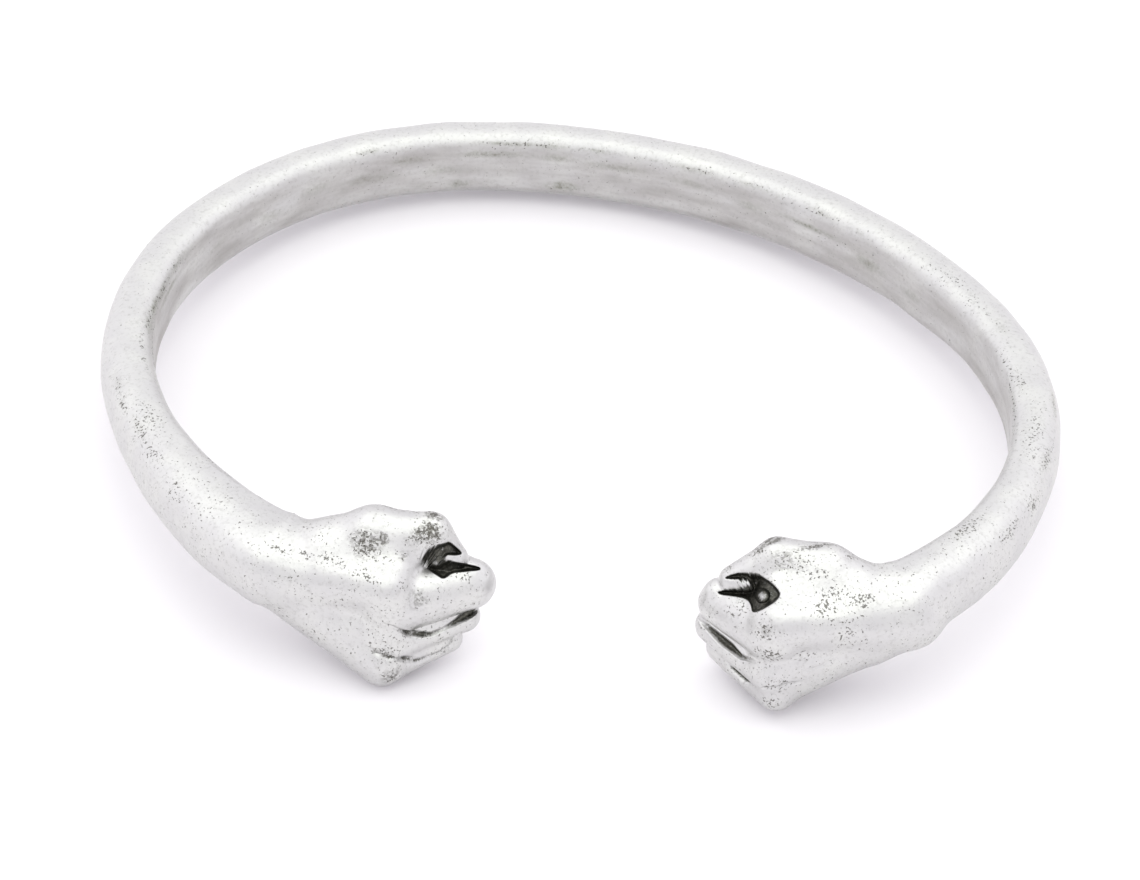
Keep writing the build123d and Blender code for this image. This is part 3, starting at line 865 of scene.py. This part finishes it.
class Field:
    """A value that changes over a surface: one socket in a tree of nodes."""

    def __init__(self, tree, socket=None):
        self.tree = tree
        self.socket = socket

    def node(self, kind, settings=None, inputs=None, output=0):
        """Adds a node: its settings first, then values or links in its inputs, and gives an output."""
        made = self.tree.nodes.new("ShaderNode" + kind)
        for name, value in (settings or {}).items():
            setattr(made, name, value)
        for name, value in (inputs or {}).items():
            if isinstance(value, Field):
                self.tree.links.new(value.socket, made.inputs[name])
            else:
                made.inputs[name].default_value = value
        return Field(self.tree, made.outputs[output])

    def math(self, operation, first, second):
        """Adds a Math node that works on two fields or numbers."""
        return self.node("Math", {"operation": operation}, {0: first, 1: second})

    def __add__(self, other):
        return self.math("ADD", self, other)

    def __mul__(self, other):
        return self.math("MULTIPLY", self, other)

    def __sub__(self, other):
        return self.math("SUBTRACT", self, other)

    def __rsub__(self, other):
        return self.math("SUBTRACT", other, self)

    __radd__ = __add__
    __rmul__ = __mul__

    def top(self, other):
        """The larger of the two."""
        return self.math("MAXIMUM", self, other)

    def ramp(self, start, end):
        """Rises smoothly from 0 at start to 1 at end."""
        return self.node("MapRange", {"interpolation_type": "SMOOTHSTEP"}, {0: self, 1: start, 2: end})

    def noise(self, period, detail=2.0, roughness=0.5):
        """Noise of this place, with features about half the period apart, in the place's own unit."""
        return self.node("TexNoise", {"noise_dimensions": "3D"}, {
            "Vector": self, "Scale": 1 / period, "Detail": detail, "Roughness": roughness})

    def stretched(self, *scale):
        """This place with each direction multiplied by its own number."""
        return self.node("VectorMath", {"operation": "MULTIPLY"}, {0: self, 1: scale})

    def toward(self, *way):
        """How far this direction goes the given way: the sum of the products of their X, Y and Z."""
        return self.node("VectorMath", {"operation": "DOT_PRODUCT"}, {0: self, 1: way}, "Value")

    def part(self, axis):
        """The X, the Y or the Z of this place."""
        return self.node("SeparateXYZ", {}, {0: self}, axis)

    def attribute(self, name, output="Fac"):
        """What the mesh has under that name, as one number or as a vector."""
        return self.node("Attribute", {"attribute_name": name}, output=output)

    def over(self, colour, under):
        """The colour where this mask is 1, and what lies under it where the mask is 0."""
        return self.node("Mix", {"data_type": "RGBA"}, {0: self, 6: under, 7: colour}, 2)

    def into(self, shader, name):
        """Links this to an input of the shader."""
        self.tree.links.new(self.socket, shader.inputs[name])


# %% [markdown]
# ## Antiqued silver
#
# The rubbed silver is satin, not mirror: a broad soft gleam over a grain that the mould left. It could be one
# grey metal, but the real one has finishes that meet at broken edges: bright metal with a darker grain, a
# thin grey-brown film on the inner face, smudges on the band, stains on the hands, pits, and near-black
# antiquing in the cuts. The inner face's colour also carries painted shade, darkest toward its lower edge by
# the floor, and the near-black in the cuts is antiquing with painted shade, darker where the cut is deeper.
# Each is a colour, and a mask of attributes and noise lays one over the other. Pits, cuts and the band are
# rougher than the rubbed hands, and the grain, the pits and the stains are also pressed into the surface by a
# Bump node.

# %% Antiqued silver
RUBBED, WORN_BRIGHT = (0.615, 0.612, 0.608, 1), (0.650, 0.650, 0.635, 1)
GRAIN = (0.38, 0.375, 0.36, 1)
# the inner face's colour: a grey-brown film with painted shade
FILM_AND_SHADE = (0.43, 0.415, 0.405, 1)
SMUDGE = (0.22, 0.225, 0.175, 1)
STAIN = (0.14, 0.135, 0.12, 1)
PIT = (0.10, 0.095, 0.08, 1)
# near-black of the cuts: antiquing with painted shade
CUT_ANTIQUING_AND_SHADE, THIN_CUT_ANTIQUING_AND_SHADE = (0.070, 0.070, 0.060, 1), (0.17, 0.165, 0.145, 1)
silver = bpy.data.materials.new("antique_silver")
silver.use_nodes = True
shader = silver.node_tree.nodes["Principled BSDF"]
field = Field(silver.node_tree)
place = field.node("TexCoord", output="Object").stretched(1 / MM, 1 / MM, 1 / MM)  # millimetres
band_place = field.attribute("cuff_place", "Vector")

grain = place.noise(0.26, 3.0, 0.6)
speck = place.noise(0.16, 2.0, 0.55)
fleck = place.noise(0.25, 2.5, 0.65)
cloud = place.noise(2.2, 2.0, 0.6)
smear = band_place.stretched(0.22, 1.0, 1.0).noise(1.3, 3.0, 0.6)
rubbed = place.stretched(1.0, 1.0, 0.16).noise(0.26, 2.0, 0.5)
ring_share = field.attribute("ring_share")

pit_share = field.attribute("pits") * 0.80 + (cloud - 0.5) * (1.0 - ring_share)
pitted = (speck + pit_share * 0.23).ramp(0.69, 0.745)
stained = (field.attribute("stain") * (0.45 + fleck.ramp(0.40, 0.60) * 1.2)).ramp(0.08, 0.80)
smudged = (field.attribute("smudge") * (0.55 + (fleck - 0.5) * 1.4 + (cloud - 0.5) * 0.8)).ramp(0.0, 0.80)
# painted shade on the inner face, darker toward its lower edge by the floor; the smear noise gives the film's
# streaks
low = band_place.part("Z").ramp(-1.5, -2.3)
film_and_shade = field.attribute("inside") * (0.50 + (smear - 0.5) * 2.2 + low * 0.35)
# antiquing and painted shade in the cuts, broken up by fleck noise
antiqued_and_shaded = (field.attribute("antiquing_and_shade") * (1.0 + (fleck - 0.5) * 2.2)).ramp(0.22, 0.85)

bright = cloud.ramp(0.35, 0.70).over(WORN_BRIGHT, RUBBED)
bright = (grain.ramp(0.48, 0.78) * 0.40).over(GRAIN, bright)
colour = film_and_shade.over(FILM_AND_SHADE, bright)
colour = (smudged * 0.75).over(SMUDGE, colour)
colour = (stained * 0.80).over(STAIN, colour)
colour = (pitted * 0.80).over(PIT, colour)
# the colour of the cuts' antiquing and painted shade, lighter in flecks
cut_antiquing_and_shade_tone = fleck.ramp(0.42, 0.72).over(THIN_CUT_ANTIQUING_AND_SHADE, CUT_ANTIQUING_AND_SHADE)
colour = antiqued_and_shaded.over(cut_antiquing_and_shade_tone, colour)
colour.into(shader, "Base Color")
shader.inputs["Metallic"].default_value = 1.0
dark = pitted.top(antiqued_and_shaded)
worn = grain * 0.14 + film_and_shade * 0.05 + ring_share * 0.15 + dark * 0.10
(worn + 0.29).into(shader, "Roughness")
height = grain * 0.017 + rubbed * 0.006 + cloud * 0.02 - pitted * 0.020 - stained * fleck * 0.05
field.node("Bump", {}, {"Strength": 1.0, "Distance": MM, "Height": height}).into(shader, "Normal")
cuff_mesh.materials.append(silver)
print("antique silver has", len(silver.node_tree.nodes), "nodes")

# %% [markdown]
# ## Floor and light
#
# The bracelet lay on white paper under a large soft light, in a white room: tops of forms are
# nearly white, sides a pale lilac grey, and the shadows are faint. Lamps would do, but each shows
# its outline in the metal. A sky that brightens toward its top, and a little toward a wide panel on
# either side, has no edges and lights it evenly.

# %% Floor
PAPER = (0.87, 0.853, 0.875, 1)
FLOOR_HALF = 3.0  # metres
floor_mesh = bpy.data.meshes.new("floor")
floor_corners = [(FLOOR_HALF * x, FLOOR_HALF * y, 0) for x, y in ((-1, -1), (1, -1), (1, 1), (-1, 1))]
floor_mesh.from_pydata(floor_corners, [], [(0, 1, 2, 3)])
floor = bpy.data.objects.new("floor", floor_mesh)
bpy.context.scene.collection.objects.link(floor)
paper = bpy.data.materials.new("white_paper")
paper.use_nodes = True
matt = paper.node_tree.nodes["Principled BSDF"]
matt.inputs["Base Color"].default_value = PAPER
matt.inputs["Roughness"].default_value = 0.9
floor_mesh.materials.append(paper)
print("floor", 2 * FLOOR_HALF, "m across")

# %% Light
CEILING_COLOUR, SIDE_COLOUR = (0.985, 1.0, 0.975, 1), (0.97, 0.955, 0.99, 1)
world = bpy.data.worlds.new("studio")
world.use_nodes = True
sky = Field(world.node_tree)
tent = world.node_tree.nodes["Background"]
direction = sky.node("TexCoord", output="Generated")
ceiling = (direction.part("Z") + direction.part("Y") * 0.05).ramp(0.63, 0.90)
left_panel = direction.toward(-0.87, 0.25, 0.42).ramp(0.48, 0.98)
right_panel = direction.toward(0.73, 0.42, 0.54).ramp(0.60, 0.98)
panels = left_panel.top(right_panel)
ceiling.over(CEILING_COLOUR, SIDE_COLOUR).into(tent, "Color")
(1.15 + ceiling * 0.60 + panels * 0.26).into(tent, "Strength")
bpy.context.scene.world = world
bpy.context.scene.view_settings.view_transform = "Standard"
print("sky has", len(world.node_tree.nodes), "nodes")

# %% Place in the frame
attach(cuff, "root")
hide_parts("fist_cuff")
